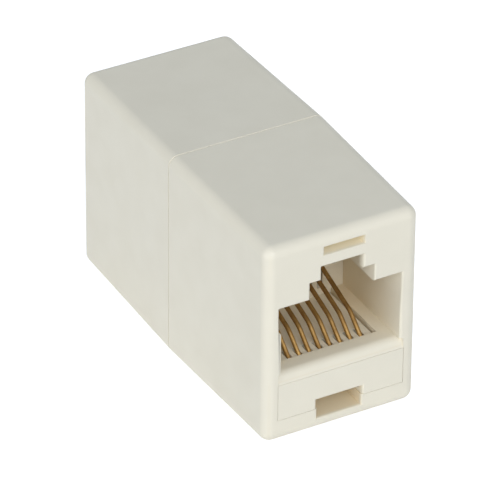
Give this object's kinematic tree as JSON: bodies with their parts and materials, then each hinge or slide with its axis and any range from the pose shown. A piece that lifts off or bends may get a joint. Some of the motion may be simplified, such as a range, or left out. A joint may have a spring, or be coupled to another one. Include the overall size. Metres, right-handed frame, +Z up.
{
  "type": "modular plug inline coupler",
  "caption": "Small ivory inline coupler with a stepped modular plug socket in each end, joining two network patch leads end to end.",
  "frame": {"origin": "lowest point at mid length, under the parting plane of the two half shells, on the centre line", "axes": "+Y along the coupler from the front socket to the rear socket, +Z up from the contact side to the latch side, +X across it"},
  "size_m": [0.0154, 0.0336, 0.0203],
  "materials": {
    "shell": "satin moulded ivory ABS",
    "insert": "satin moulded ivory polycarbonate",
    "contact": "gold-plated phosphor bronze spring wire",
    "lead_blue": "PVC insulation on stranded copper",
    "lead_orange": "PVC insulation on stranded copper",
    "lead_black": "PVC insulation on stranded copper",
    "lead_red": "PVC insulation on stranded copper",
    "lead_green": "PVC insulation on stranded copper",
    "lead_yellow": "PVC insulation on stranded copper",
    "lead_brown": "PVC insulation on stranded copper",
    "lead_slate": "PVC insulation on stranded copper"
  },
  "bodies": {
    "root": {"front_shell": "shell", "rear_shell": "shell", "front_insert": "insert", "rear_insert": "insert", "front_contact_1": "contact", "front_contact_2": "contact", "front_contact_3": "contact", "front_contact_4": "contact", "front_contact_5": "contact", "front_contact_6": "contact", "front_contact_7": "contact", "front_contact_8": "contact", "rear_contact_1": "contact", "rear_contact_2": "contact", "rear_contact_3": "contact", "rear_contact_4": "contact", "rear_contact_5": "contact", "rear_contact_6": "contact", "rear_contact_7": "contact", "rear_contact_8": "contact", "lead_1": "lead_blue", "lead_2": "lead_orange", "lead_3": "lead_black", "lead_4": "lead_red", "lead_5": "lead_green", "lead_6": "lead_yellow", "lead_7": "lead_brown", "lead_8": "lead_slate"}
  },
  "joints": []
}
